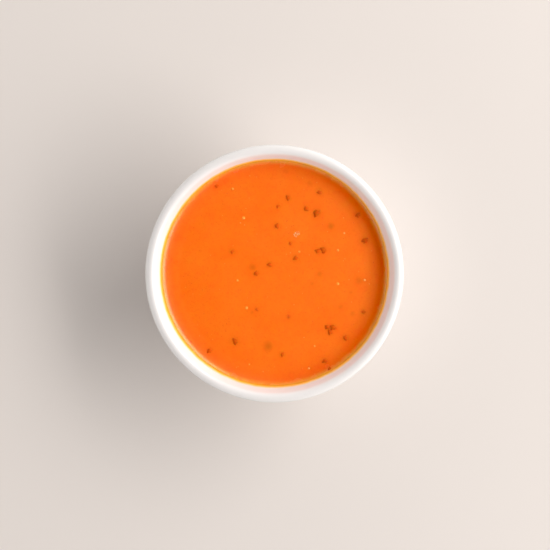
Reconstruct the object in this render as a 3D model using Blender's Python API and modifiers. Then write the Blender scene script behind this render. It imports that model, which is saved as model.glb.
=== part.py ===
"""A small round porcelain soup bowl, filled with tomato soup.

Two solids: the bowl, turned in one piece with its rolled lip and foot ring, and the soup that fills it up to its
level, with the meniscus that climbs the wall. Metres, +Z up. The origin is on the table, under the bowl's axis.
"""

from math import cos, exp, pi, radians, sin

import bpy
from mathutils import Vector
from mathutils.geometry import interpolate_bezier

# The bowl's driving sizes.
RIM_DIAMETER = 0.120
HEIGHT = 0.058
LIP_THICKNESS = 0.0050
FLOOR_THICKNESS = 0.0050

# How the wall sweeps from its flat floor up to the lip: the handles of one smooth curve along its middle.
FLAT_RADIUS = 0.014
FLOOR_SWEEP = 0.033
WALL_SWEEP = 0.024
WALL_FLARE = radians(24)  # how far the wall leans out from upright where it meets the lip

# The foot ring that the bowl stands on.
FOOT_DIAMETER = 0.058
FOOT_WIDTH = 0.0042
FOOT_RECESS = 0.0032  # from the table up to the underside within the ring
FOOT_EDGE_RADIUS = 0.0009
FOOT_SIDE_HEIGHT = 0.0028  # the upright part of the ring's outer side
FOOT_SLANT = 0.0008  # how far the ring's inner side leans in on its way up
NECK_REACH = 0.0034  # how far out the hollow where the wall blends into the foot ring begins

# The soup.
SOUP_BELOW_RIM = 0.0090
MENISCUS_RISE = 0.0020
MENISCUS_REACH = 0.0020  # the distance from the wall in which the climb falls to about a third
MENISCUS_SPAN = 4 * MENISCUS_REACH  # beyond this distance from the wall the surface is flat
GAP = 0.0003  # clearance between the soup and the glaze

SIDES = 76  # segments round a turned piece
WALL_STEPS = 14
LIP_STEPS = 8
NECK_STEPS = 4
MENISCUS_STEPS = 6
EDGE_STEPS = 3

RIM_RADIUS = RIM_DIAMETER / 2
FOOT_RADIUS = FOOT_DIAMETER / 2
SOUP_LEVEL = HEIGHT - SOUP_BELOW_RIM
MERGE_DISTANCE = 0.00001

PORCELAIN_COLOUR = (0.855, 0.825, 0.795, 1.0)
PORCELAIN_ROUGHNESS = 0.12
SOUP_COLOUR = (0.90, 0.155, 0.012, 1.0)
SOUP_ROUGHNESS = 0.22


def clear_scene():
    for item in list(bpy.data.objects):
        bpy.data.objects.remove(item, do_unlink=True)


def wall_middle():
    """Points along the middle of the wall, from the flat of the floor up to the lip's centre, as (radius, height)."""
    lip_centre = Vector((RIM_RADIUS - LIP_THICKNESS / 2, HEIGHT - LIP_THICKNESS / 2))
    floor_end = Vector((FLAT_RADIUS, FOOT_RECESS + FLOOR_THICKNESS / 2))
    up_the_wall = Vector((sin(WALL_FLARE), cos(WALL_FLARE)))
    along_the_floor = Vector((1, 0))
    return interpolate_bezier(
        floor_end,
        floor_end + along_the_floor * FLOOR_SWEEP,
        lip_centre - up_the_wall * WALL_SWEEP,
        lip_centre,
        WALL_STEPS,
    )


def wall_sides():
    """The inner and the outer face of the wall, each from the floor up to the lip."""
    middle = wall_middle()
    inner, outer = [], []
    for step, point in enumerate(middle):
        before = middle[max(step - 1, 0)]
        after = middle[min(step + 1, len(middle) - 1)]
        along = (after - before).normalized()
        towards_soup = Vector((-along.y, along.x))
        share = step / (len(middle) - 1)
        half_thickness = (FLOOR_THICKNESS * (1 - share) + LIP_THICKNESS * share) / 2
        inner.append(point + towards_soup * half_thickness)
        outer.append(point - towards_soup * half_thickness)
    return inner, outer


def height_at(line, radius):
    """How high a line of (radius, height) points is at one radius."""
    for near, far in zip(line, line[1:]):
        if near.x <= radius <= far.x:
            return near.y + (far.y - near.y) * (radius - near.x) / (far.x - near.x)
    return line[-1].y


def radius_at(line, height):
    """How far from the axis a line of (radius, height) points is at one height."""
    for low, high in zip(line, line[1:]):
        if low.y <= height <= high.y:
            return low.x + (high.x - low.x) * (height - low.y) / (high.y - low.y)
    return line[-1].x


def arc(centre, radius, start, end, steps):
    """Points on an arc from one angle to another, in radians, both ends included."""
    angles = [start + (end - start) * step / steps for step in range(steps + 1)]
    return [centre + Vector((cos(angle), sin(angle))) * radius for angle in angles]


def lip():
    """The rolled edge, from the inner face over to the outer one, without the two points that those faces end on."""
    centre = wall_middle()[-1]
    inner_side = pi - WALL_FLARE
    outer_side = -WALL_FLARE
    return arc(centre, LIP_THICKNESS / 2, inner_side, outer_side, LIP_STEPS)[1:-1]


def neck(outer):
    """The hollow in which the outer face of the wall turns down into the upright side of the foot ring."""
    start_radius = FOOT_RADIUS + NECK_REACH
    start = Vector((start_radius, height_at(outer, start_radius)))
    corner = Vector((FOOT_RADIUS, height_at(outer, FOOT_RADIUS)))
    end = Vector((FOOT_RADIUS, FOOT_SIDE_HEIGHT))
    return interpolate_bezier(start, (start + corner) / 2, corner, end, NECK_STEPS)


def foot_ring():
    """The ring, from its outer side round the face that it stands on, to the recess inside it."""
    outer_edge = Vector((FOOT_RADIUS - FOOT_EDGE_RADIUS, FOOT_EDGE_RADIUS))
    inner_edge = Vector((FOOT_RADIUS - FOOT_WIDTH + FOOT_EDGE_RADIUS, FOOT_EDGE_RADIUS))
    ring = arc(outer_edge, FOOT_EDGE_RADIUS, 0, -pi / 2, EDGE_STEPS)
    ring += arc(inner_edge, FOOT_EDGE_RADIUS, -pi / 2, -pi, EDGE_STEPS)
    ring.append(Vector((FOOT_RADIUS - FOOT_WIDTH - FOOT_SLANT, FOOT_RECESS)))
    return ring


def bowl_outline():
    """Half of the bowl's section, from the middle of its floor over the lip and down to the underside."""
    inner, outer = wall_sides()
    inner_floor = Vector((0, inner[0].y))
    down_to_neck = [point for point in reversed(outer) if point.x > FOOT_RADIUS + NECK_REACH]
    underside = Vector((0, FOOT_RECESS))
    return [inner_floor, *inner, *lip(), *down_to_neck, *neck(outer), *foot_ring(), underside]


def soup_surface(inner):
    """The soup's top, as (radius, height above its level): flat in the middle, and climbing as it nears the wall."""
    edge = radius_at(inner, SOUP_LEVEL + MENISCUS_RISE) - GAP
    surface = [Vector((0, 0))]
    for step in range(MENISCUS_STEPS + 1):
        # The points crowd towards the wall, where the climb is steep.
        from_wall = MENISCUS_SPAN * (1 - step / MENISCUS_STEPS) ** 2
        climb = MENISCUS_RISE * exp(-from_wall / MENISCUS_REACH)
        surface.append(Vector((edge - from_wall, climb)))
    return surface


def soup_outline():
    """Half of the soup's section, from the middle of its surface out to the wall and down along it to the floor."""
    inner, _ = wall_sides()
    down_the_wall = []
    for low, high in reversed(list(zip(inner, inner[1:]))):
        along = (high - low).normalized()
        clear = low + Vector((-along.y, along.x)) * GAP
        if clear.y < SOUP_LEVEL:
            down_the_wall.append(clear - Vector((0, SOUP_LEVEL)))
    floor_middle = Vector((0, inner[0].y + GAP - SOUP_LEVEL))
    return [*soup_surface(inner), *down_the_wall, floor_middle]


def turned(name, outline, material, collection):
    """A solid made by turning a half section about the Z axis."""
    mesh = bpy.data.meshes.new(name)
    points = [(point.x, 0, point.y) for point in outline]
    edges = [(index, index + 1) for index in range(len(points) - 1)]
    mesh.from_pydata(points, edges, [])
    mesh.materials.append(material)
    piece = bpy.data.objects.new(name, mesh)
    collection.objects.link(piece)
    screw = piece.modifiers.new("turn", "SCREW")
    screw.axis = "Z"
    screw.angle = 2 * pi
    screw.steps = SIDES
    screw.render_steps = SIDES
    screw.use_merge_vertices = True
    screw.merge_threshold = MERGE_DISTANCE
    screw.use_smooth_shade = True
    return piece


def surface_material(name, colour, roughness):
    material = bpy.data.materials.new(name)
    material.use_nodes = True
    shader = material.node_tree.nodes["Principled BSDF"]
    shader.inputs["Base Color"].default_value = colour
    shader.inputs["Roughness"].default_value = roughness
    shader.inputs["Metallic"].default_value = 0.0
    material.diffuse_color = colour
    return material


def build():
    clear_scene()
    collection = bpy.data.collections.new("bowl_of_tomato_soup")
    bpy.context.scene.collection.children.link(collection)

    porcelain = surface_material("glazed_porcelain", PORCELAIN_COLOUR, PORCELAIN_ROUGHNESS)
    tomato = surface_material("tomato_soup", SOUP_COLOUR, SOUP_ROUGHNESS)

    bowl = turned("bowl", bowl_outline(), porcelain, collection)
    soup = turned("soup", soup_outline(), tomato, collection)
    soup.parent = bowl
    soup.location.z = SOUP_LEVEL


build()
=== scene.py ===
"""The looks of a small porcelain bowl of creamed tomato soup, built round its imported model."""

from math import atan2, cos, exp, hypot, pi, radians, sin
from random import Random

import bmesh
import bpy
from mathutils import Matrix, Vector
from mathutils.geometry import interpolate_bezier


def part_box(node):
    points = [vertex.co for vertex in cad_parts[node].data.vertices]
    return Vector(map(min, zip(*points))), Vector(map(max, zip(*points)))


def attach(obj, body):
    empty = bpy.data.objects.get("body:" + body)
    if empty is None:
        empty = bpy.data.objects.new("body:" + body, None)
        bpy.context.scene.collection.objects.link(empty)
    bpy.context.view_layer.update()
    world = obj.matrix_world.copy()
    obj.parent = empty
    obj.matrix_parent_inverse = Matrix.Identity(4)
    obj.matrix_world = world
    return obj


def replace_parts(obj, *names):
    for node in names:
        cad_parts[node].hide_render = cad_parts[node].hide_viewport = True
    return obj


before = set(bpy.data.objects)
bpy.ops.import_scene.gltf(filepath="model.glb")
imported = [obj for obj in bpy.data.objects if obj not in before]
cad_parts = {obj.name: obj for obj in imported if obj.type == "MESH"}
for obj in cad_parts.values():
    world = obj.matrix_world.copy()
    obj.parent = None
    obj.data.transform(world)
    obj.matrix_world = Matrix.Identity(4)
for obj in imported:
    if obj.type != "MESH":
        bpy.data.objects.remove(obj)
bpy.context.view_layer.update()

MM = 0.001

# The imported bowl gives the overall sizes.
_, bowl_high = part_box("bowl")
RIM_RADIUS = bowl_high.x
HEIGHT = bowl_high.z

# The bowl's section, as it was turned.
LIP_THICKNESS = 5.0 * MM
FLOOR_THICKNESS = 5.0 * MM
FLAT_RADIUS = 14 * MM
FLOOR_SWEEP = 33 * MM
WALL_SWEEP = 24 * MM
WALL_FLARE = radians(24)
FOOT_RADIUS = 29 * MM
FOOT_WIDTH = 4.2 * MM
FOOT_RECESS = 3.2 * MM
FOOT_EDGE_RADIUS = 0.9 * MM
FOOT_SIDE_HEIGHT = 2.8 * MM
FOOT_SLANT = 0.8 * MM
NECK_REACH = 3.4 * MM
GLAZE_THINS = 2.2 * MM  # how far below the rim the glaze begins to run thin
OUT_OF_ROUND = 0.16 * MM  # how far the wall strays from a true circle, as a cast bowl does in the kiln

# The soup's surface, and the climb that it makes against the wall.
MENISCUS_RISE = 2.0 * MM
MENISCUS_REACH = 2.0 * MM
MENISCUS_SPAN = 4 * MENISCUS_REACH
SOUP_BELOW_RIM = 9.0 * MM
SOUP_LEVEL = HEIGHT - SOUP_BELOW_RIM
INTO_WALL = 0.15 * MM  # the soup and its film end inside the glaze, so that no gap shows
SWELL = 0.09 * MM  # the soup's surface is slightly uneven
SWELL_LENGTH = 16 * MM
HERB_CLIMB = 0.05 * MM  # and the soup climbs a little at each flake
HERB_CLIMB_REACH = 0.9 * MM

# The oil film that the soup leaves on the wall above its edge.
FILM_BELOW = 0.35 * MM
FILM_ABOVE = 2.2 * MM
FILM_THICKNESS = 0.12 * MM
FILM_WAVE = 0.35 * MM

# How many waves there are, roughly, to a radius of the ring: slow in its roundness, quick along the film.
SLOW_WAVES = 1.3
QUICK_WAVES = 7.0

# How finely the turned pieces are made.
SEGMENTS = 256
WALL_STEPS = 44
LIP_STEPS = 20
NECK_STEPS = 10
EDGE_STEPS = 6
SURFACE_RINGS = 56
MENISCUS_RINGS = 18
FILM_STEPS = 8
WELD = 0.001 * MM

# A Mix node's two colours, which share their names with its other inputs.
MIX_A = 6
MIX_B = 7

# The zone of each point of a section: bare, or from 0 up to 1 towards the edge that waves.
BARE = -1.0
GLAZED = 0.0

# Where the herb shows. The larger flakes lie in patches, each given as degrees round from +X, how far out as
# a share of the soup's radius, and the lengths of the patch's flakes in mm.
HERB_PATCHES = (
    (55, 0.65, (3.5,)),
    (25, 0.45, (3.0, 2.5)),
    (20, 0.85, (3.0,)),
    (35, 0.90, (2.5,)),
    (-45, 0.70, (3.0, 2.5, 2.5)),
    (-120, 0.70, (3.0,)),
    (-130, 0.90, (2.5,)),
    (-60, 0.90, (2.5,)),
    (-60, 0.98, (2.0,)),
)
PATCH_REACH = 1.5  # mm from a patch's middle out to its flakes, where it has more than one
PATCH_TURN = 2 * pi / 3  # round the patch, from each flake to the next
HERB_BITS = 16  # smaller flakes, scattered between the patches
BIT_LENGTHS = (1.4, 2.4)

# Flakes that have sunk and stain the soup from below, given as direction, share, width in mm and strength.
SUNKEN_FLAKES = (
    (40, 0.65, 3.0, 0.95),
    (-95, 0.65, 4.0, 0.95),
    (165, 0.20, 3.0, 0.75),
    (-5, 0.75, 3.5, 0.65),
)
SUNKEN_BITS = 10
SUNKEN_WIDTHS = (1.5, 2.5)
SUNKEN_STRENGTHS = (0.35, 0.6)
STAIN_FADE = 3.2  # how fast a stain fades, by the square of the distance in its own widths
STAIN_GRAIN = 1.6 * MM  # how finely its edge is ragged
STAIN_STRETCH = 0.62  # distances from a stain are stretched by at least this
STAIN_RAGGED = 0.75  # and, in places, by up to this much more
HALO_FADE = 1.7  # how fast the halo round a flake that shows fades, in the flake's own lengths
HALO_STRENGTH = 0.6

OIL_BEADS = 12  # beads of oil that catch the light
BEAD_WIDTHS = (0.7, 1.5)

STREWN_LEAN = 0.8  # how much thicker all this lies towards +X: 0 is even, 1 leaves the far -X side bare
STREWN_APART = 5.0  # mm that scattered bits of a kind keep from each other and from the placed ones
STREWN_MARGIN = 4.0  # mm that they keep from the wall

# One seed for each kind's places, and for the turns of those that have theirs drawn apart.
FLAKE_SEED = 4
STAIN_SEED = 22
BEAD_SEED = 23
PULP_SEED = 11
BUBBLE_SEED = 5
FROTH_SEED = 9
FLAKE_TURN_SEED = 7
STAIN_TURN_SEED = 1
BEAD_TURN_SEED = 3

FROTH_DIRECTION = 60  # a pinch of fine bubbles, in degrees round from +X
FROTH_SHARE = 0.40
FROTH_SPREAD = 1.5  # mm
FROTH_COUNT = 30

PULP_SPECKS = 260
PULP_MARGIN = 4 * MM  # that the specks keep from the wall
LOOSE_BUBBLES = 60
BUBBLE_MARGIN = 5 * MM
FINE_WIDTHS = (0.25, 0.6)  # mm, of the pulp specks and the bubbles

# How bare of soup a flake lies: its colour shows more, the longer it is in mm.
BARENESS_LEAST = 0.15
BARENESS_BY_LENGTH = 0.22
BARENESS_MOST = 0.9

# How a flake lies: tilted by up to this either way, and floating this far above the soup.
FLAKE_TILT = radians(4)
FLAKE_FLOAT = 0.08 * MM

# A flake's shape, in its own lengths: an oval with three broad lobes and five small ones, its middle raised.
FLAKE_CORNERS = 14
BROAD_LOBES = 0.20
SMALL_LOBES = 0.14
LOBE_START = 0.7
FLAKE_WIDTH = 0.8
FLAKE_CROWN = 0.09
FALL_ACROSS = 0.4
FALL_ALONG = 0.12
FLAKE_THICKNESS = 0.07

# The view, from almost straight above.
CAMERA_LENS = 85
CAMERA_SENSOR = 36
CAMERA_DISTANCE = 0.60
CAMERA_TILT = radians(4)
CAMERA_AIM = (0.23 * MM, -0.1 * MM, HEIGHT)

# The light: a wide window to the right and a low white card to the left, in a pale room, dimmer overhead.
# For each lamp: azimuth and elevation, width and height in metres, power in watts.
LAMPS = {
    "window": (radians(12), radians(39), 2.0, 0.6, 21.5),
    "card": (radians(192), radians(16), 2.0, 0.5, 4.0),
}
LAMP_DISTANCE = 1.3
FLOOR_WIDTH = 4.0
ROOM_STRENGTH = 1.08
CEILING_STRENGTH = 0.18
CEILING_SLOPE = 1.2  # how fast the ceiling grows brighter towards the window
WALLS_END = 0.35  # as the height of a direction, where straight up is 1
CEILING_STARTS = 0.95


# --- Small tools ------------------------------------------------------------------------------------------


def linear(hex_colour):
    """An sRGB hex colour as linear light, with full alpha."""
    channels = [int(hex_colour[place : place + 2], 16) / 255 for place in (1, 3, 5)]
    lit = [value / 12.92 if value <= 0.04045 else ((value + 0.055) / 1.055) ** 2.4 for value in channels]
    return (*lit, 1.0)


def add(tree, kind, inputs=None, **settings):
    """A new node, with its settings, and each input set to a value or linked from another node's output."""
    node = tree.nodes.new(kind)
    for name, value in settings.items():
        setattr(node, name, value)
    for place, value in (inputs or {}).items():
        if isinstance(value, bpy.types.NodeSocket):
            tree.links.new(value, node.inputs[place])
        else:
            node.inputs[place].default_value = value
    return node


def new_tree(name, inputs):
    """An empty Geometry Nodes tree that takes and gives geometry, and the sockets of its named inputs."""
    tree = bpy.data.node_groups.new(name, "GeometryNodeTree")
    tree.interface.new_socket("Geometry", in_out="INPUT", socket_type="NodeSocketGeometry")
    for label, kind in inputs.items():
        tree.interface.new_socket(label, in_out="INPUT", socket_type="NodeSocket" + kind)
    tree.interface.new_socket("Geometry", in_out="OUTPUT", socket_type="NodeSocketGeometry")
    return tree, tree.nodes.new("NodeGroupInput").outputs


def made_by(tree, start_mesh, name, **values):
    """The plain mesh that a Geometry Nodes tree makes from a starting mesh."""
    start = bpy.data.objects.new(name + "_start", start_mesh)
    bpy.context.scene.collection.objects.link(start)
    modifier = start.modifiers.new("make", "NODES")
    modifier.node_group = tree
    for item in tree.interface.items_tree:
        if item.in_out == "INPUT" and item.name in values:
            modifier[item.identifier] = values[item.name]
    depsgraph = bpy.context.evaluated_depsgraph_get()
    evaluated = start.evaluated_get(depsgraph)
    mesh = bpy.data.meshes.new_from_object(evaluated, preserve_all_data_layers=True, depsgraph=depsgraph)
    mesh.name = name
    bpy.data.objects.remove(start)
    return mesh


def shown(name, mesh):
    """A finished piece of the bowl of soup, riding with it."""
    piece = bpy.data.objects.new(name, mesh)
    bpy.context.scene.collection.objects.link(piece)
    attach(piece, "root")
    return piece


# --- The sections that the bowl, the soup and the film are turned from ------------------------------------


def wall_middle():
    """The line along the middle of the wall, from the flat of the floor up to the lip's centre."""
    lip_centre = Vector((RIM_RADIUS - LIP_THICKNESS / 2, HEIGHT - LIP_THICKNESS / 2))
    floor_end = Vector((FLAT_RADIUS, FOOT_RECESS + FLOOR_THICKNESS / 2))
    up_the_wall = Vector((sin(WALL_FLARE), cos(WALL_FLARE)))
    floor_handle = floor_end + Vector((FLOOR_SWEEP, 0))
    wall_handle = lip_centre - up_the_wall * WALL_SWEEP
    return interpolate_bezier(floor_end, floor_handle, wall_handle, lip_centre, WALL_STEPS)


def wall_sides():
    """The inner and the outer face of the wall, each from the floor up to the lip."""
    middle = wall_middle()
    inner, outer = [], []
    for step, point in enumerate(middle):
        before = middle[max(step - 1, 0)]
        after = middle[min(step + 1, len(middle) - 1)]
        along = (after - before).normalized()
        towards_soup = Vector((-along.y, along.x))
        share = step / (len(middle) - 1)
        half_thickness = (FLOOR_THICKNESS * (1 - share) + LIP_THICKNESS * share) / 2
        inner.append(point + towards_soup * half_thickness)
        outer.append(point - towards_soup * half_thickness)
    return inner, outer


INNER_WALL, OUTER_WALL = wall_sides()


def height_at(line, radius):
    for near, far in zip(line, line[1:]):
        if near.x <= radius <= far.x:
            return near.y + (far.y - near.y) * (radius - near.x) / (far.x - near.x)
    return line[-1].y


def radius_at(line, height):
    for low, high in zip(line, line[1:]):
        if low.y <= height <= high.y:
            return low.x + (high.x - low.x) * (height - low.y) / (high.y - low.y)
    return line[-1].x


def arc(centre, radius, start, end, steps):
    angles = [start + (end - start) * step / steps for step in range(steps + 1)]
    return [centre + Vector((cos(angle), sin(angle))) * radius for angle in angles]


def zoned(points, zone):
    return [(point, zone) for point in points]


def bowl_section():
    """The bowl's half section, from the middle of its floor over the lip and down to the underside."""
    lip = arc(wall_middle()[-1], LIP_THICKNESS / 2, pi - WALL_FLARE, -WALL_FLARE, LIP_STEPS)[1:-1]
    neck_start_radius = FOOT_RADIUS + NECK_REACH
    neck_start = Vector((neck_start_radius, height_at(OUTER_WALL, neck_start_radius)))
    corner = Vector((FOOT_RADIUS, height_at(OUTER_WALL, FOOT_RADIUS)))
    side_top = Vector((FOOT_RADIUS, FOOT_SIDE_HEIGHT))
    neck = interpolate_bezier(neck_start, (neck_start + corner) / 2, corner, side_top, NECK_STEPS)
    down_to_neck = [point for point in reversed(OUTER_WALL) if point.x > neck_start_radius]
    outer_edge = Vector((FOOT_RADIUS - FOOT_EDGE_RADIUS, FOOT_EDGE_RADIUS))
    inner_edge = Vector((FOOT_RADIUS - FOOT_WIDTH + FOOT_EDGE_RADIUS, FOOT_EDGE_RADIUS))
    foot = arc(outer_edge, FOOT_EDGE_RADIUS, 0, -pi / 2, EDGE_STEPS)
    foot += arc(inner_edge, FOOT_EDGE_RADIUS, -pi / 2, -pi, EDGE_STEPS)
    recess_edge = Vector((FOOT_RADIUS - FOOT_WIDTH - FOOT_SLANT, FOOT_RECESS))
    return [
        *zoned([Vector((0, INNER_WALL[0].y)), *INNER_WALL, *lip, *down_to_neck, *neck], GLAZED),
        *zoned(foot, BARE),
        *zoned([recess_edge, Vector((0, FOOT_RECESS))], GLAZED),
    ]


def soup_climb(from_wall):
    """How high the soup stands above its level, so far from where it meets the wall."""
    return MENISCUS_RISE * exp(-from_wall / MENISCUS_REACH)


SOUP_RADIUS = radius_at(INNER_WALL, SOUP_LEVEL + MENISCUS_RISE)
WALL_LEAN = atan2(SOUP_RADIUS - radius_at(INNER_WALL, SOUP_LEVEL), MENISCUS_RISE)  # from upright


def soup_section():
    """The soup's half section, its surface zoned by how near the wall is: 0 on the flat and 1 at the wall."""
    edge = SOUP_RADIUS + INTO_WALL
    flat_radius = edge - MENISCUS_SPAN
    flat = [Vector((flat_radius * step / SURFACE_RINGS, SOUP_LEVEL)) for step in range(SURFACE_RINGS + 1)]
    climbing = []
    for step in range(1, MENISCUS_RINGS + 1):
        nearness = step / MENISCUS_RINGS
        from_wall = MENISCUS_SPAN * (1 - nearness)
        climbing.append((Vector((edge - from_wall, SOUP_LEVEL + soup_climb(from_wall))), nearness))
    down_the_wall = [point + Vector((INTO_WALL, 0)) for point in reversed(INNER_WALL) if point.y < SOUP_LEVEL]
    floor_middle = Vector((0, INNER_WALL[0].y - INTO_WALL))
    return [*zoned(flat, 0.0), *climbing, *zoned([*down_the_wall, floor_middle], BARE)]


def film_section():
    """The film's closed section, up its wet face and back down inside the glaze, zoned from 0 up to 1."""
    wet_face, in_the_glaze = [], []
    for step in range(FILM_STEPS + 1):
        share = step / FILM_STEPS
        height = SOUP_LEVEL + MENISCUS_RISE - FILM_BELOW + (FILM_BELOW + FILM_ABOVE) * share
        wall_radius = radius_at(INNER_WALL, height)
        wet_face.append((Vector((wall_radius - FILM_THICKNESS * (1 - share**2), height)), share))
        in_the_glaze.append((Vector((wall_radius + INTO_WALL, height)), share))
    return [*wet_face, *reversed(in_the_glaze), wet_face[0]]


def section_points(name, section):
    """A half section as the points of a mesh, each with its zone."""
    mesh = bpy.data.meshes.new(name)
    mesh.from_pydata([(point.x, 0, point.y) for point, _ in section], [], [])
    zones = mesh.attributes.new("zone", "FLOAT", "POINT")
    zones.data.foreach_set("value", [zone for _, zone in section])
    return mesh


# --- Geometry Nodes trees ---------------------------------------------------------------------------------


def turning_tree():
    """Turns a half section about the Z axis, as a potter's wheel does, and lets it stray from a circle."""
    tree, given = new_tree(
        "turned_ware",
        {
            "Segments": "Int",
            "Out Of Round": "Float",
            "Edge Wave": "Float",
            "Wall Lean": "Float",
            "Weld": "Float",
            "Material": "Material",
            "Bare Material": "Material",
        },
    )
    size = add(tree, "GeometryNodeAttributeDomainSize", {"Geometry": given["Geometry"]}, component="MESH")
    rows = size.outputs["Point Count"]
    columns = add(tree, "FunctionNodeIntegerMath", {0: given["Segments"], 1: 1}, operation="ADD")
    grid = add(tree, "GeometryNodeMeshGrid", {"Vertices X": columns.outputs[0], "Vertices Y": rows})
    index = add(tree, "GeometryNodeInputIndex")
    row = add(tree, "FunctionNodeIntegerMath", {0: index.outputs[0], 1: rows}, operation="MODULO")
    column = add(tree, "FunctionNodeIntegerMath", {0: index.outputs[0], 1: rows}, operation="DIVIDE_FLOOR")
    place = add(tree, "GeometryNodeInputPosition")
    section_point = add(
        tree,
        "GeometryNodeSampleIndex",
        {"Geometry": given["Geometry"], "Value": place.outputs[0], "Index": row.outputs[0]},
        data_type="FLOAT_VECTOR",
    )
    zone = add(tree, "GeometryNodeInputNamedAttribute", {"Name": "zone"}, data_type="FLOAT")
    section_zone = add(
        tree,
        "GeometryNodeSampleIndex",
        {"Geometry": given["Geometry"], "Value": zone.outputs["Attribute"], "Index": row.outputs[0]},
        data_type="FLOAT",
    )
    part_of_turn = add(
        tree,
        "ShaderNodeMath",
        {0: column.outputs[0], 1: given["Segments"]},
        operation="DIVIDE",
    )
    angle = add(tree, "ShaderNodeMath", {0: part_of_turn.outputs[0], 1: 2 * pi}, operation="MULTIPLY")
    turned_point = add(
        tree,
        "ShaderNodeVectorRotate",
        {"Vector": section_point.outputs["Value"], "Angle": angle.outputs[0]},
        rotation_type="Z_AXIS",
    )
    ring = add(
        tree,
        "GeometryNodeSetPosition",
        {"Geometry": grid.outputs["Mesh"], "Position": turned_point.outputs[0]},
    )
    marked = add(
        tree,
        "GeometryNodeStoreNamedAttribute",
        {"Geometry": ring.outputs[0], "Name": "zone", "Value": section_zone.outputs["Value"]},
        data_type="FLOAT",
    )
    # Slow waves round the ring: the same for every piece, so that the soup and its film still fit the wall.
    outward = add(tree, "ShaderNodeVectorMath", {0: place.outputs[0], 1: (1, 1, 0)}, operation="MULTIPLY")
    direction = add(tree, "ShaderNodeVectorMath", {0: outward.outputs[0]}, operation="NORMALIZE")
    radius = add(tree, "ShaderNodeVectorMath", {0: outward.outputs[0]}, operation="LENGTH")
    slow = add(
        tree,
        "ShaderNodeTexNoise",
        {"Vector": direction.outputs[0], "Scale": SLOW_WAVES, "Detail": 1.0},
        noise_dimensions="3D",
    )
    stray = add(tree, "ShaderNodeMath", {0: slow.outputs[0], 1: given["Out Of Round"]}, operation="MULTIPLY")
    shrink = add(tree, "ShaderNodeMath", {0: stray.outputs[0], 1: -1 / RIM_RADIUS}, operation="MULTIPLY")
    inward = add(
        tree,
        "ShaderNodeVectorMath",
        {0: outward.outputs[0], "Scale": shrink.outputs[0]},
        operation="SCALE",
    )
    # Quick waves along the upper edge, up the leaning wall.
    quick = add(
        tree,
        "ShaderNodeTexNoise",
        {"Vector": direction.outputs[0], "Scale": QUICK_WAVES, "Detail": 3.0},
        noise_dimensions="3D",
    )
    centred = add(tree, "ShaderNodeMath", {0: quick.outputs[0], 1: 0.5}, operation="SUBTRACT")
    lift = add(tree, "ShaderNodeMath", {0: centred.outputs[0], 1: given["Edge Wave"]}, operation="MULTIPLY")
    raised = add(tree, "ShaderNodeMath", {0: zone.outputs["Attribute"], 1: 0.0}, operation="MAXIMUM")
    edge_lift = add(tree, "ShaderNodeMath", {0: lift.outputs[0], 1: raised.outputs[0]}, operation="MULTIPLY")
    lean = add(tree, "ShaderNodeMath", {0: given["Wall Lean"]}, operation="TANGENT")
    out_shift = add(
        tree,
        "ShaderNodeMath",
        {0: edge_lift.outputs[0], 1: lean.outputs[0]},
        operation="MULTIPLY",
    )
    sideways = add(
        tree,
        "ShaderNodeVectorMath",
        {0: direction.outputs[0], "Scale": out_shift.outputs[0]},
        operation="SCALE",
    )
    upward = add(tree, "ShaderNodeCombineXYZ", {"Z": edge_lift.outputs[0]})
    wave = add(tree, "ShaderNodeVectorMath", {0: sideways.outputs[0], 1: upward.outputs[0]}, operation="ADD")
    offset = add(tree, "ShaderNodeVectorMath", {0: inward.outputs[0], 1: wave.outputs[0]}, operation="ADD")
    off_axis = add(
        tree,
        "FunctionNodeCompare",
        {0: radius.outputs["Value"], 1: WELD},
        operation="GREATER_THAN",
    )
    uneven = add(
        tree,
        "GeometryNodeSetPosition",
        {"Geometry": marked.outputs[0], "Selection": off_axis.outputs[0], "Offset": offset.outputs[0]},
    )
    closed = add(
        tree,
        "GeometryNodeMergeByDistance",
        {"Geometry": uneven.outputs[0], "Distance": given["Weld"]},
        mode="ALL",
    )
    outward_faces = add(tree, "GeometryNodeFlipFaces", {"Mesh": closed.outputs[0]})
    smooth = add(tree, "GeometryNodeSetShadeSmooth", {"Geometry": outward_faces.outputs[0]})
    real = add(tree, "GeometryNodeRealizeInstances", {"Geometry": smooth.outputs[0]})
    coated = add(
        tree,
        "GeometryNodeSetMaterial",
        {"Geometry": real.outputs[0], "Material": given["Material"]},
    )
    bare = add(
        tree,
        "FunctionNodeCompare",
        {0: zone.outputs["Attribute"], 1: BARE / 2},
        operation="LESS_THAN",
    )
    finished = add(
        tree,
        "GeometryNodeSetMaterial",
        {"Geometry": coated.outputs[0], "Selection": bare.outputs[0], "Material": given["Bare Material"]},
    )
    add(tree, "NodeGroupOutput", {"Geometry": finished.outputs[0]})
    return tree


def nearest_laid(tree, laid, place, length):
    """The things laid on the soup, which is nearest, how far it is, and how far in its own lengths."""
    things = add(tree, "GeometryNodeObjectInfo", {"Object": laid}).outputs["Geometry"]
    nearest = add(
        tree,
        "GeometryNodeSampleNearest",
        {"Geometry": things, "Sample Position": place},
    ).outputs["Index"]
    its_place = add(
        tree,
        "GeometryNodeSampleIndex",
        {"Geometry": things, "Value": place, "Index": nearest},
        data_type="FLOAT_VECTOR",
    ).outputs["Value"]
    its_length = add(
        tree,
        "GeometryNodeSampleIndex",
        {"Geometry": things, "Value": length, "Index": nearest},
        data_type="FLOAT",
    ).outputs["Value"]
    away = add(tree, "ShaderNodeVectorMath", {0: place, 1: its_place}, operation="DISTANCE").outputs["Value"]
    lengths = add(tree, "ShaderNodeMath", {0: away, 1: its_length}, operation="DIVIDE").outputs[0]
    return things, nearest, away, lengths


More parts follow.
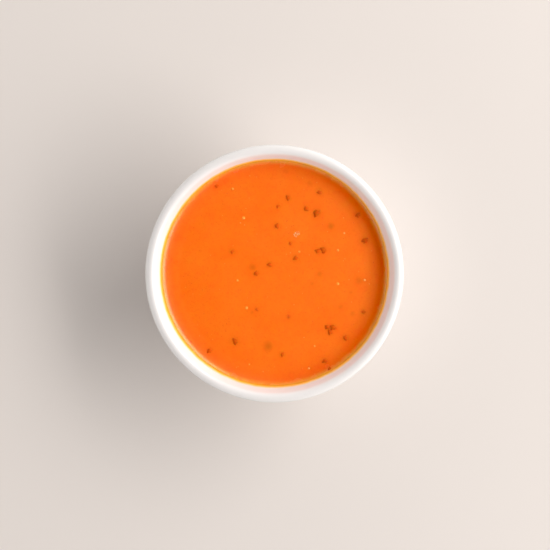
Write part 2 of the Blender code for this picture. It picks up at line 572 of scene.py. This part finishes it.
def faded(tree, lengths, fade):
    """How strongly a thing still shows so many of its own lengths away: it fades by their square."""
    squared = add(tree, "ShaderNodeMath", {0: lengths, 1: lengths}, operation="MULTIPLY")
    steep = add(tree, "ShaderNodeMath", {0: squared.outputs[0], 1: -fade}, operation="MULTIPLY")
    return add(tree, "ShaderNodeMath", {0: steep.outputs[0]}, operation="EXPONENT").outputs[0]


def surface_tree():
    """Gives the turned soup its slight swell, lifts it at each flake, and marks where flakes stain it."""
    tree, given = new_tree(
        "soup_surface",
        {
            "Flakes": "Object",
            "Stains": "Object",
            "Swell": "Float",
            "Herb Climb": "Float",
            "Material": "Material",
        },
    )
    place = add(tree, "GeometryNodeInputPosition").outputs[0]
    zone, length, strength = (
        add(tree, "GeometryNodeInputNamedAttribute", {"Name": name}, data_type="FLOAT").outputs["Attribute"]
        for name in ("zone", "length", "strength")
    )

    # How strongly the nearest stain shows at each point: full at its middle, gone about a width away.
    stains, stain, _, widths = nearest_laid(tree, given["Stains"], place, length)
    stain_strength = add(
        tree,
        "GeometryNodeSampleIndex",
        {"Geometry": stains, "Value": strength, "Index": stain},
        data_type="FLOAT",
    )
    ragged = add(tree, "ShaderNodeTexNoise", {"Vector": place, "Scale": 1 / STAIN_GRAIN, "Detail": 2.0})
    jitter = add(
        tree,
        "ShaderNodeMath",
        {0: ragged.outputs[0], 1: STAIN_RAGGED, 2: STAIN_STRETCH},
        operation="MULTIPLY_ADD",
    )
    reach = add(tree, "ShaderNodeMath", {0: widths, 1: jitter.outputs[0]}, operation="MULTIPLY")
    shade = add(
        tree,
        "ShaderNodeMath",
        {0: faded(tree, reach.outputs[0], STAIN_FADE), 1: stain_strength.outputs["Value"]},
        operation="MULTIPLY",
    )

    # The climb against the nearest flake, and the faint halo of its own stain.
    _, _, away, lengths = nearest_laid(tree, given["Flakes"], place, length)
    halo = add(
        tree,
        "ShaderNodeMath",
        {0: faded(tree, lengths, HALO_FADE), 1: HALO_STRENGTH},
        operation="MULTIPLY",
    )
    deeper = add(tree, "ShaderNodeMath", {0: shade.outputs[0], 1: halo.outputs[0]}, operation="MAXIMUM")
    stained = add(
        tree,
        "GeometryNodeStoreNamedAttribute",
        {"Geometry": given["Geometry"], "Name": "stain", "Value": deeper.outputs[0]},
        data_type="FLOAT",
    )
    fading = add(tree, "ShaderNodeMath", {0: away, 1: -1 / HERB_CLIMB_REACH}, operation="MULTIPLY")
    hold = add(tree, "ShaderNodeMath", {0: fading.outputs[0]}, operation="EXPONENT")
    climb = add(tree, "ShaderNodeMath", {0: hold.outputs[0], 1: given["Herb Climb"]}, operation="MULTIPLY")

    # The slow swell, which dies out towards the wall.
    waves = add(tree, "ShaderNodeTexNoise", {"Vector": place, "Scale": 1 / SWELL_LENGTH, "Detail": 2.0})
    centred = add(tree, "ShaderNodeMath", {0: waves.outputs[0], 1: 0.5}, operation="SUBTRACT")
    swell = add(tree, "ShaderNodeMath", {0: centred.outputs[0], 1: given["Swell"]}, operation="MULTIPLY")
    rise = add(tree, "ShaderNodeMath", {0: swell.outputs[0], 1: climb.outputs[0]}, operation="ADD")
    openness = add(tree, "ShaderNodeMath", {0: 1.0, 1: zone}, operation="SUBTRACT")
    lift = add(tree, "ShaderNodeMath", {0: rise.outputs[0], 1: openness.outputs[0]}, operation="MULTIPLY")
    upward = add(tree, "ShaderNodeCombineXYZ", {"Z": lift.outputs[0]})
    on_top = add(tree, "FunctionNodeCompare", {0: zone, 1: BARE / 2}, operation="GREATER_THAN")
    uneven = add(
        tree,
        "GeometryNodeSetPosition",
        {"Geometry": stained.outputs[0], "Selection": on_top.outputs[0], "Offset": upward.outputs[0]},
    )
    real = add(tree, "GeometryNodeRealizeInstances", {"Geometry": uneven.outputs[0]})
    finished = add(
        tree,
        "GeometryNodeSetMaterial",
        {"Geometry": real.outputs[0], "Material": given["Material"]},
    )
    add(tree, "NodeGroupOutput", {"Geometry": finished.outputs[0]})
    return tree


def strewing_tree():
    """Lays a shape on each point, at that point's length and turn, and makes each copy ragged its own way."""
    tree, given = new_tree(
        "strewn",
        {"Shape": "Object", "Ragged Share": "Float", "Ragged Grain": "Float", "Material": "Material"},
    )
    length = add(
        tree,
        "GeometryNodeInputNamedAttribute",
        {"Name": "length"},
        data_type="FLOAT",
    ).outputs["Attribute"]
    turn = add(tree, "GeometryNodeInputNamedAttribute", {"Name": "turn"}, data_type="FLOAT_VECTOR")
    rotation = add(tree, "FunctionNodeEulerToRotation", {0: turn.outputs["Attribute"]})
    shape = add(tree, "GeometryNodeObjectInfo", {"Object": given["Shape"]})
    laid = add(
        tree,
        "GeometryNodeInstanceOnPoints",
        {
            "Points": given["Geometry"],
            "Instance": shape.outputs["Geometry"],
            "Rotation": rotation.outputs[0],
            "Scale": length,
        },
    )
    real = add(tree, "GeometryNodeRealizeInstances", {"Geometry": laid.outputs[0]})
    place = add(tree, "GeometryNodeInputPosition")
    grain = add(
        tree,
        "ShaderNodeTexNoise",
        {"Vector": place.outputs[0], "Scale": given["Ragged Grain"], "Detail": 1.0},
    )
    either_way = add(
        tree, "ShaderNodeVectorMath", {0: grain.outputs["Color"], 1: (0.5, 0.5, 0.5)}, operation="SUBTRACT"
    )
    reach = add(tree, "ShaderNodeMath", {0: length, 1: given["Ragged Share"]}, operation="MULTIPLY")
    offset = add(
        tree,
        "ShaderNodeVectorMath",
        {0: either_way.outputs[0], "Scale": reach.outputs[0]},
        operation="SCALE",
    )
    ragged = add(tree, "GeometryNodeSetPosition", {"Geometry": real.outputs[0], "Offset": offset.outputs[0]})
    smooth = add(tree, "GeometryNodeSetShadeSmooth", {"Geometry": ragged.outputs[0]})
    finished = add(
        tree,
        "GeometryNodeSetMaterial",
        {"Geometry": smooth.outputs[0], "Material": given["Material"]},
    )
    add(tree, "NodeGroupOutput", {"Geometry": finished.outputs[0]})
    return tree


# --- What is strewn on the soup ---------------------------------------------------------------------------


def flake_shape():
    """A torn bit of dried leaf, one unit long: a thin plate with a lobed outline, with its middle raised."""
    work = bmesh.new()
    bmesh.ops.create_circle(work, cap_ends=True, cap_tris=True, segments=FLAKE_CORNERS, radius=0.5)
    for corner in work.verts:
        around = corner.co.to_2d()
        if around.length > 0:
            angle = around.angle_signed(Vector((1, 0)))
            around *= 1 + BROAD_LOBES * sin(3 * angle + LOBE_START) + SMALL_LOBES * sin(5 * angle)
        height = FLAKE_CROWN - FALL_ACROSS * around.y**2 - FALL_ALONG * around.x**2
        corner.co = (around.x, around.y * FLAKE_WIDTH, height)
    bmesh.ops.solidify(work, geom=work.faces[:], thickness=FLAKE_THICKNESS)
    bmesh.ops.recalc_face_normals(work, faces=work.faces[:])
    mesh = bpy.data.meshes.new("flake_shape")
    work.to_mesh(mesh)
    work.free()
    return bpy.data.objects.new("flake_shape", mesh)


def drop_shape(name, fineness, flatness):
    """A drop one unit wide, flattened as it lies half sunk in the soup."""
    work = bmesh.new()
    flat = Matrix.Diagonal((1, 1, flatness, 1))
    bmesh.ops.create_icosphere(work, subdivisions=fineness, radius=0.5, matrix=flat)
    mesh = bpy.data.meshes.new(name)
    work.to_mesh(mesh)
    work.free()
    return bpy.data.objects.new(name, mesh)


def soup_height(across, up):
    """The height of the soup's surface at a place on it."""
    from_wall = SOUP_RADIUS - Vector((across, up)).length
    return SOUP_LEVEL + soup_climb(max(from_wall, 0))


def points_on_soup(name, places, lengths, turns, strengths, float_height=0.0):
    """Points on the soup's surface, each with the length, turn and strength of what lies there."""
    mesh = bpy.data.meshes.new(name)
    spots = [(across, up, soup_height(across, up) + float_height) for across, up in places]
    mesh.from_pydata(spots, [], [])
    mesh.attributes.new("length", "FLOAT", "POINT").data.foreach_set("value", lengths)
    mesh.attributes.new("strength", "FLOAT", "POINT").data.foreach_set("value", strengths)
    flat_turns = [angle for turn in turns for angle in turn]
    mesh.attributes.new("turn", "FLOAT_VECTOR", "POINT").data.foreach_set("vector", flat_turns)
    return mesh


def any_turn(chance, tilt):
    """A random turn about the upright, with a small tilt."""
    return (chance.uniform(-tilt, tilt), chance.uniform(-tilt, tilt), chance.uniform(0, 2 * pi))


def anywhere(chance, radius):
    """A random place on a disc, with every patch as likely as the next."""
    angle = chance.uniform(0, 2 * pi)
    away = radius * chance.random() ** 0.5
    return away * cos(angle), away * sin(angle)


def place_on_soup(degrees, share):
    """A place on the soup in mm, from its direction round from +X and how far out it lies."""
    out = share * SOUP_RADIUS / MM
    return out * cos(radians(degrees)), out * sin(radians(degrees))


def leaning_places(chance, count, taken):
    """Random places in mm, thicker towards +X, that keep clear of each other and of the places taken."""
    radius = SOUP_RADIUS / MM
    places = []
    while len(places) < count:
        across, up = anywhere(chance, radius - STREWN_MARGIN)
        clear = all(hypot(across - x, up - y) > STREWN_APART for x, y in [*taken, *places])
        if clear and chance.random() < 0.5 + 0.5 * STREWN_LEAN * across / radius:
            places.append((across, up))
    return places


def lay_flakes():
    """Every flake that shows, as its place and length in mm: the patches, then the smaller bits between."""
    chance = Random(FLAKE_SEED)
    flakes = []
    for degrees, share, lengths in HERB_PATCHES:
        across, up = place_on_soup(degrees, share)
        heading = chance.uniform(0, 2 * pi)
        reach = PATCH_REACH if len(lengths) > 1 else 0
        for number, length in enumerate(lengths):
            angle = heading + number * PATCH_TURN
            flakes.append((across + reach * cos(angle), up + reach * sin(angle), length))
    taken = [place_on_soup(FROTH_DIRECTION, FROTH_SHARE), *[flake[:2] for flake in flakes]]
    for across, up in leaning_places(chance, HERB_BITS, taken):
        flakes.append((across, up, chance.uniform(*BIT_LENGTHS)))
    return flakes


def lay_stains():
    """Every stain, as its place, width in mm and strength: the sunken flakes, then fainter bits of them."""
    chance = Random(STAIN_SEED)
    stains = [(*place_on_soup(*where), width, strength) for *where, width, strength in SUNKEN_FLAKES]
    for across, up in leaning_places(chance, SUNKEN_BITS, [stain[:2] for stain in stains]):
        stains.append((across, up, chance.uniform(*SUNKEN_WIDTHS), chance.uniform(*SUNKEN_STRENGTHS)))
    return stains


def lay_beads():
    """The beads of oil, as places and widths in mm."""
    chance = Random(BEAD_SEED)
    places = leaning_places(chance, OIL_BEADS, [])
    return [(across, up, chance.uniform(*BEAD_WIDTHS)) for across, up in places]


# --- Materials --------------------------------------------------------------------------------------------


def new_material(name):
    """A named material, its node tree, its Principled shader, and the piece's own coordinates in metres."""
    material = bpy.data.materials.new(name)
    material.use_nodes = True
    tree = material.node_tree
    place = add(tree, "ShaderNodeTexCoord").outputs["Object"]
    return material, tree, tree.nodes["Principled BSDF"], place


def porcelain_glaze():
    """Clear feldspar glaze over white porcelain: a near white with a wet, even gloss. It runs thinner over
    the lip, which lets a little of the clay through, and its faint orange peel softens the highlights."""
    material, tree, shader, place = new_material("porcelain_clear_glaze")
    clouds = add(tree, "ShaderNodeTexNoise", {"Vector": place, "Scale": 1 / (22 * MM), "Detail": 3.0})
    body = add(
        tree,
        "ShaderNodeMix",
        {0: clouds.outputs[0], MIX_A: linear("#E1DEDD"), MIX_B: linear("#E7E4E3")},
        data_type="RGBA",
    )
    height = add(tree, "ShaderNodeSeparateXYZ", {0: place}).outputs["Z"]
    lip = add(
        tree,
        "ShaderNodeMapRange",
        {"Value": height, "From Min": HEIGHT - GLAZE_THINS, "From Max": HEIGHT, "To Max": 0.55},
    )
    coloured = add(
        tree,
        "ShaderNodeMix",
        {0: lip.outputs[0], MIX_A: body.outputs[2], MIX_B: linear("#DED9D7")},
        data_type="RGBA",
    )
    tree.links.new(coloured.outputs[2], shader.inputs["Base Color"])
    smears = add(tree, "ShaderNodeTexNoise", {"Vector": place, "Scale": 1 / (9 * MM), "Detail": 4.0})
    gloss = add(
        tree,
        "ShaderNodeMapRange",
        {"Value": smears.outputs[0], "From Min": 0.3, "From Max": 0.7, "To Min": 0.07, "To Max": 0.15},
    )
    tree.links.new(gloss.outputs[0], shader.inputs["Roughness"])
    peel = add(tree, "ShaderNodeTexNoise", {"Vector": place, "Scale": 1 / (3.5 * MM), "Detail": 1.0})
    bump = add(tree, "ShaderNodeBump", {"Height": peel.outputs[0], "Distance": 0.02 * MM, "Strength": 0.5})
    tree.links.new(bump.outputs[0], shader.inputs["Normal"])
    shader.inputs["IOR"].default_value = 1.52
    return material


def bare_porcelain():
    """The foot ring's face, wiped free of glaze and left as fired: dry, matt and darker, with a fine grit."""
    material, tree, shader, place = new_material("bare_fired_porcelain")
    grit = add(tree, "ShaderNodeTexNoise", {"Vector": place, "Scale": 1 / (0.5 * MM), "Detail": 2.0})
    colour = add(
        tree,
        "ShaderNodeMix",
        {0: grit.outputs[0], MIX_A: linear("#CFC4B6"), MIX_B: linear("#E2DACF")},
        data_type="RGBA",
    )
    tree.links.new(colour.outputs[2], shader.inputs["Base Color"])
    bump = add(tree, "ShaderNodeBump", {"Height": grit.outputs[0], "Distance": 0.05 * MM, "Strength": 0.6})
    tree.links.new(bump.outputs[0], shader.inputs["Normal"])
    shader.inputs["Roughness"].default_value = 0.8
    return material


def tomato_soup():
    """Tomatoes blended with cream: an opaque, saturated orange that light soaks a millimetre or so into,
    mottled by its pulp. It goes redder towards the wall, a painted shade for the wall's shadow on the soup,
    then amber, and ochre over a sunken flake."""
    material, tree, shader, place = new_material("creamed_tomato_soup")
    zone = add(tree, "ShaderNodeAttribute", attribute_name="zone").outputs["Fac"]
    stain = add(tree, "ShaderNodeAttribute", attribute_name="stain").outputs["Fac"]
    clouds = add(tree, "ShaderNodeTexNoise", {"Vector": place, "Scale": 1 / (13 * MM), "Detail": 3.0})
    body = add(
        tree,
        "ShaderNodeMix",
        {0: clouds.outputs[0], MIX_A: linear("#FE7006"), MIX_B: linear("#FE8018")},
        data_type="RGBA",
    )
    pulp = add(tree, "ShaderNodeTexNoise", {"Vector": place, "Scale": 1 / (0.9 * MM), "Detail": 2.0})
    pulp_show = add(
        tree,
        "ShaderNodeMapRange",
        {"Value": pulp.outputs[0], "From Min": 0.5, "From Max": 0.75, "To Max": 0.4},
    )
    pulpy = add(
        tree,
        "ShaderNodeMix",
        {0: pulp_show.outputs[0], MIX_A: body.outputs[2], MIX_B: linear("#F56206")},
        data_type="RGBA",
    )
    stained = add(
        tree,
        "ShaderNodeMix",
        {0: stain, MIX_A: pulpy.outputs[2], MIX_B: linear("#D66600")},
        data_type="RGBA",
    )
    # Painted shade: the soup is mixed a little redder towards the wall, standing in for the shadow that the
    # wall casts on it.
    painted_wall_shade = add(
        tree,
        "ShaderNodeMapRange",
        {"Value": zone, "From Min": 0.0, "From Max": 0.55, "To Max": 0.22},
        interpolation_type="SMOOTHSTEP",
    )
    shade_reddened = add(
        tree,
        "ShaderNodeMix",
        {0: painted_wall_shade.outputs[0], MIX_A: stained.outputs[2], MIX_B: linear("#F65A02")},
        data_type="RGBA",
    )
    thin = add(
        tree,
        "ShaderNodeMapRange",
        {"Value": zone, "From Min": 0.70, "From Max": 0.94},
        interpolation_type="SMOOTHSTEP",
    )
    amber = add(
        tree,
        "ShaderNodeMix",
        {0: thin.outputs[0], MIX_A: shade_reddened.outputs[2], MIX_B: linear("#FF961C")},
        data_type="RGBA",
    )
    tree.links.new(amber.outputs[2], shader.inputs["Base Color"])
    patches = add(tree, "ShaderNodeTexNoise", {"Vector": place, "Scale": 1 / (7 * MM), "Detail": 3.0})
    gloss = add(
        tree,
        "ShaderNodeMapRange",
        {"Value": patches.outputs[0], "From Min": 0.3, "From Max": 0.7, "To Min": 0.10, "To Max": 0.2},
    )
    creamy = add(tree, "ShaderNodeMath", {0: zone, 1: 0.14, 2: gloss.outputs[0]}, operation="MULTIPLY_ADD")
    tree.links.new(creamy.outputs[0], shader.inputs["Roughness"])
    bump = add(tree, "ShaderNodeBump", {"Height": pulp.outputs[0], "Distance": 0.02 * MM, "Strength": 0.4})
    tree.links.new(bump.outputs[0], shader.inputs["Normal"])
    shader.inputs["IOR"].default_value = 1.45
    shader.inputs["Subsurface Weight"].default_value = 1.0
    shader.inputs["Subsurface Radius"].default_value = (1.0, 0.3, 0.1)
    shader.inputs["Subsurface Scale"].default_value = 1.2 * MM
    return material


def oil_film():
    """Orange oil that clings to the glaze at the soup's edge: a wet amber line that fades to pale yellow
    above, and then into the white of the glaze."""
    material, tree, shader, place = new_material("tomato_oil_film")
    zone = add(tree, "ShaderNodeAttribute", attribute_name="zone").outputs["Fac"]
    streaks = add(tree, "ShaderNodeTexNoise", {"Vector": place, "Scale": 1 / (5 * MM), "Detail": 3.0})
    uneven = add(tree, "ShaderNodeMath", {0: streaks.outputs[0], 1: 0.5, 2: zone}, operation="MULTIPLY_ADD")
    fade = add(tree, "ShaderNodeMapRange", {"Value": uneven.outputs[0], "From Min": 0.50, "From Max": 1.05})
    colour = add(
        tree,
        "ShaderNodeMix",
        {0: fade.outputs[0], MIX_A: linear("#FAA824"), MIX_B: linear("#F6D27C")},
        data_type="RGBA",
    )
    end = add(tree, "ShaderNodeMapRange", {"Value": uneven.outputs[0], "From Min": 0.85, "From Max": 1.35})
    ended = add(
        tree,
        "ShaderNodeMix",
        {0: end.outputs[0], MIX_A: colour.outputs[2], MIX_B: linear("#E0DCDA")},
        data_type="RGBA",
    )
    tree.links.new(ended.outputs[2], shader.inputs["Base Color"])
    shader.inputs["Roughness"].default_value = 0.12
    shader.inputs["IOR"].default_value = 1.47
    return material


def dried_herb():
    """Dried basil, soaked: brown leaf with rusty patches, under a coat of soup that hides the smaller flakes
    more, and hardly glossy."""
    material, tree, shader, place = new_material("soaked_dried_basil")
    bareness = add(tree, "ShaderNodeAttribute", attribute_name="strength").outputs["Fac"]
    mottle = add(tree, "ShaderNodeTexNoise", {"Vector": place, "Scale": 1 / (0.8 * MM), "Detail": 3.0})
    patchy = add(
        tree,
        "ShaderNodeMapRange",
        {"Value": mottle.outputs[0], "From Min": 0.35, "From Max": 0.65},
    )
    leaf = add(
        tree,
        "ShaderNodeMix",
        {0: patchy.outputs[0], MIX_A: linear("#B45400"), MIX_B: linear("#D24600")},
        data_type="RGBA",
    )
    coated = add(
        tree,
        "ShaderNodeMix",
        {0: bareness, MIX_A: linear("#EE5C04"), MIX_B: leaf.outputs[2]},
        data_type="RGBA",
    )
    tree.links.new(coated.outputs[2], shader.inputs["Base Color"])
    bump = add(tree, "ShaderNodeBump", {"Height": mottle.outputs[0], "Distance": 0.05 * MM, "Strength": 0.5})
    tree.links.new(bump.outputs[0], shader.inputs["Normal"])
    shader.inputs["Roughness"].default_value = 0.55
    shader.inputs["IOR"].default_value = 1.33
    shader.inputs["Specular IOR Level"].default_value = 0.1
    return material


def spotted(name, low_hex, high_hex, roughness, ior):
    """A wet speck's material: two near colours that change from speck to speck."""
    material, tree, shader, place = new_material(name)
    mottle = add(tree, "ShaderNodeTexNoise", {"Vector": place, "Scale": 1 / (3 * MM), "Detail": 1.0})
    spread = add(
        tree,
        "ShaderNodeMapRange",
        {"Value": mottle.outputs[0], "From Min": 0.35, "From Max": 0.65},
    )
    colour = add(
        tree,
        "ShaderNodeMix",
        {0: spread.outputs[0], MIX_A: linear(low_hex), MIX_B: linear(high_hex)},
        data_type="RGBA",
    )
    tree.links.new(colour.outputs[2], shader.inputs["Base Color"])
    shader.inputs["Roughness"].default_value = roughness
    shader.inputs["IOR"].default_value = ior
    return material


# --- The pieces -------------------------------------------------------------------------------------------


def turned(turning, name, section, material, bare_material, edge_wave):
    """A mesh turned from its half section, with an edge that waves up and down the leaning wall."""
    return made_by(
        turning,
        section_points(name + "_section", section),
        name,
        **{
            "Segments": SEGMENTS,
            "Out Of Round": OUT_OF_ROUND,
            "Edge Wave": edge_wave,
            "Wall Lean": WALL_LEAN,
            "Weld": WELD,
            "Material": material,
            "Bare Material": bare_material,
        },
    )


def build_bowl(turning, glaze):
    mesh = turned(turning, "porcelain_bowl", bowl_section(), glaze, bare_porcelain(), edge_wave=0.0)
    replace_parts(shown("porcelain_bowl", mesh), "bowl")


def strewn_points(name, listed, seed, tilt=0, float_height=0, strengths=None):
    """Points for pieces that are listed as places and lengths in mm, each with a random turn."""
    chance = Random(seed)
    return points_on_soup(
        name,
        [(item[0] * MM, item[1] * MM) for item in listed],
        [item[2] * MM for item in listed],
        [any_turn(chance, tilt) for _ in listed],
        strengths or [1.0] * len(listed),
        float_height,
    )


def holder(name, mesh):
    """A mesh held in an object, for a tree to read."""
    held = bpy.data.objects.new(name, mesh)
    bpy.context.scene.collection.objects.link(held)
    return held


def build_soup(turning, flake_points):
    soup = tomato_soup()
    smooth_soup = turned(turning, "smooth_soup", soup_section(), soup, soup, FILM_WAVE)
    laid = lay_stains()
    strengths = [stain[3] for stain in laid]
    stain_points = strewn_points("stain_points", laid, STAIN_TURN_SEED, strengths=strengths)
    stains = holder("stains", stain_points)
    flakes = holder("flake_places", flake_points)
    mesh = made_by(
        surface_tree(),
        smooth_soup,
        "tomato_soup",
        **{"Flakes": flakes, "Stains": stains, "Swell": SWELL, "Herb Climb": HERB_CLIMB, "Material": soup},
    )
    for temporary in (stains, flakes):
        bpy.data.objects.remove(temporary)
    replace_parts(shown("tomato_soup", mesh), "soup")


def build_film(turning):
    film = oil_film()
    mesh = turned(turning, "oil_film_on_wall", film_section(), film, film, FILM_WAVE)
    shown("oil_film_on_wall", mesh)


def strew(strewing, name, points, shape, material, ragged_share, ragged_grain):
    """One piece of many small things that lie on the soup."""
    bpy.context.scene.collection.objects.link(shape)
    mesh = made_by(
        strewing,
        points,
        name,
        **{
            "Shape": shape,
            "Ragged Share": ragged_share,
            "Ragged Grain": 1 / ragged_grain,
            "Material": material,
        },
    )
    bpy.data.objects.remove(shape)
    shown(name, mesh)


def scattered_points(name, count, seed, radius, middle=(0, 0)):
    """Points for fine things scattered over a disc of the soup, each with a random width."""
    chance = Random(seed)
    places = [anywhere(chance, radius) for _ in range(count)]
    return points_on_soup(
        name,
        [(middle[0] + across, middle[1] + up) for across, up in places],
        [chance.uniform(FINE_WIDTHS[0] * MM, FINE_WIDTHS[1] * MM) for _ in places],
        [any_turn(chance, pi) for _ in places],
        [1.0] * count,
    )


# --- The room ---------------------------------------------------------------------------------------------


def build_floor():
    bpy.ops.mesh.primitive_plane_add(size=FLOOR_WIDTH)
    floor = bpy.context.object
    floor.name = "floor"
    material, _, shader, _ = new_material("pale_floor")
    shader.inputs["Base Color"].default_value = linear("#D6CEC9")
    shader.inputs["Roughness"].default_value = 0.7
    floor.data.materials.append(material)


def build_lamp(name, azimuth, elevation, width, height, power):
    """A soft rectangular lamp, aimed at the bowl."""
    lamp = bpy.data.lights.new(name, "AREA")
    lamp.shape = "RECTANGLE"
    lamp.size = width
    lamp.size_y = height
    lamp.energy = power
    lamp.color = linear("#FFFDFA")[:3]
    stand = bpy.data.objects.new(name, lamp)
    flat = cos(elevation)
    towards = Vector((cos(azimuth) * flat, sin(azimuth) * flat, sin(elevation)))
    stand.location = Vector((0, 0, HEIGHT)) + towards * LAMP_DISTANCE
    stand.rotation_euler = towards.to_track_quat("Z", "Y").to_euler()
    bpy.context.scene.collection.objects.link(stand)


def build_room():
    """The light of a pale room, dimmer overhead, where it is brightest towards the window."""
    world = bpy.data.worlds.new("room")
    world.use_nodes = True
    tree = world.node_tree
    direction = add(tree, "ShaderNodeTexCoord").outputs["Generated"]
    height = add(tree, "ShaderNodeSeparateXYZ", {0: direction}).outputs["Z"]
    overhead = add(
        tree,
        "ShaderNodeMapRange",
        {"Value": height, "From Min": WALLS_END, "From Max": CEILING_STARTS},
        interpolation_type="SMOOTHSTEP",
    )
    window_azimuth = LAMPS["window"][0]
    to_window = (cos(window_azimuth) * CEILING_SLOPE, sin(window_azimuth) * CEILING_SLOPE, 0)
    lean = add(tree, "ShaderNodeVectorMath", {0: direction, 1: to_window}, operation="DOT_PRODUCT")
    ceiling = add(tree, "ShaderNodeMath", {0: lean.outputs["Value"], 1: CEILING_STRENGTH}, operation="ADD")
    strength = add(
        tree,
        "ShaderNodeMix",
        {0: overhead.outputs[0], 2: ROOM_STRENGTH, 3: ceiling.outputs[0]},
        data_type="FLOAT",
    )
    background = tree.nodes["Background"]
    background.inputs["Color"].default_value = linear("#FFFDFB")
    tree.links.new(strength.outputs[0], background.inputs["Strength"])
    bpy.context.scene.world = world


def build_camera():
    """Looks almost straight down, from a little towards the bowl's far side."""
    camera = bpy.data.cameras.new("camera")
    camera.lens = CAMERA_LENS
    camera.sensor_width = CAMERA_SENSOR
    camera_stand = bpy.data.objects.new("camera", camera)
    away = Vector((0, sin(CAMERA_TILT), cos(CAMERA_TILT))) * CAMERA_DISTANCE
    camera_stand.location = Vector(CAMERA_AIM) + away
    camera_stand.rotation_euler = (-CAMERA_TILT, 0, 0)
    bpy.context.scene.collection.objects.link(camera_stand)
    bpy.context.scene.camera = camera_stand


# --- Making it all ----------------------------------------------------------------------------------------

turning = turning_tree()
strewing = strewing_tree()
flakes = lay_flakes()
bareness = [min(BARENESS_LEAST + BARENESS_BY_LENGTH * length, BARENESS_MOST) for _, _, length in flakes]
flake_points = strewn_points("flake_points", flakes, FLAKE_TURN_SEED, FLAKE_TILT, FLAKE_FLOAT, bareness)

build_bowl(turning, porcelain_glaze())
build_soup(turning, flake_points.copy())
build_film(turning)

strew(
    strewing,
    "herb_flakes",
    flake_points,
    flake_shape(),
    dried_herb(),
    ragged_share=0.30,
    ragged_grain=0.9 * MM,
)
strew(
    strewing,
    "pulp_specks",
    scattered_points("pulp_points", PULP_SPECKS, PULP_SEED, SOUP_RADIUS - PULP_MARGIN),
    drop_shape("speck_shape", fineness=1, flatness=0.5),
    spotted("tomato_pulp", "#E85808", "#F86A10", roughness=0.25, ior=1.42),
    ragged_share=0.35,
    ragged_grain=0.2 * MM,
)
strew(
    strewing,
    "oil_beads",
    strewn_points("bead_points", lay_beads(), BEAD_TURN_SEED),
    drop_shape("bead_shape", fineness=3, flatness=0.45),
    spotted("tomato_oil", "#FF942A", "#FFA84A", roughness=0.06, ior=1.47),
    ragged_share=0.08,
    ragged_grain=0.5 * MM,
)
strew(
    strewing,
    "air_bubbles",
    scattered_points("bubble_points", LOOSE_BUBBLES, BUBBLE_SEED, SOUP_RADIUS - BUBBLE_MARGIN),
    drop_shape("bubble_shape", fineness=2, flatness=0.6),
    spotted("soup_bubble", "#FF9038", "#FFA850", roughness=0.06, ior=1.33),
    ragged_share=0.0,
    ragged_grain=1 * MM,
)
strew(
    strewing,
    "froth",
    scattered_points(
        "froth_points",
        FROTH_COUNT,
        FROTH_SEED,
        FROTH_SPREAD * MM,
        [place * MM for place in place_on_soup(FROTH_DIRECTION, FROTH_SHARE)],
    ),
    drop_shape("froth_shape", fineness=2, flatness=0.7),
    spotted("cream_froth", "#FFA464", "#FFBC84", roughness=0.08, ior=1.33),
    ragged_share=0.0,
    ragged_grain=1 * MM,
)

build_floor()
build_room()
for name, settings in LAMPS.items():
    build_lamp(name, *settings)
build_camera()

scene = bpy.context.scene
scene.view_settings.view_transform = "Standard"
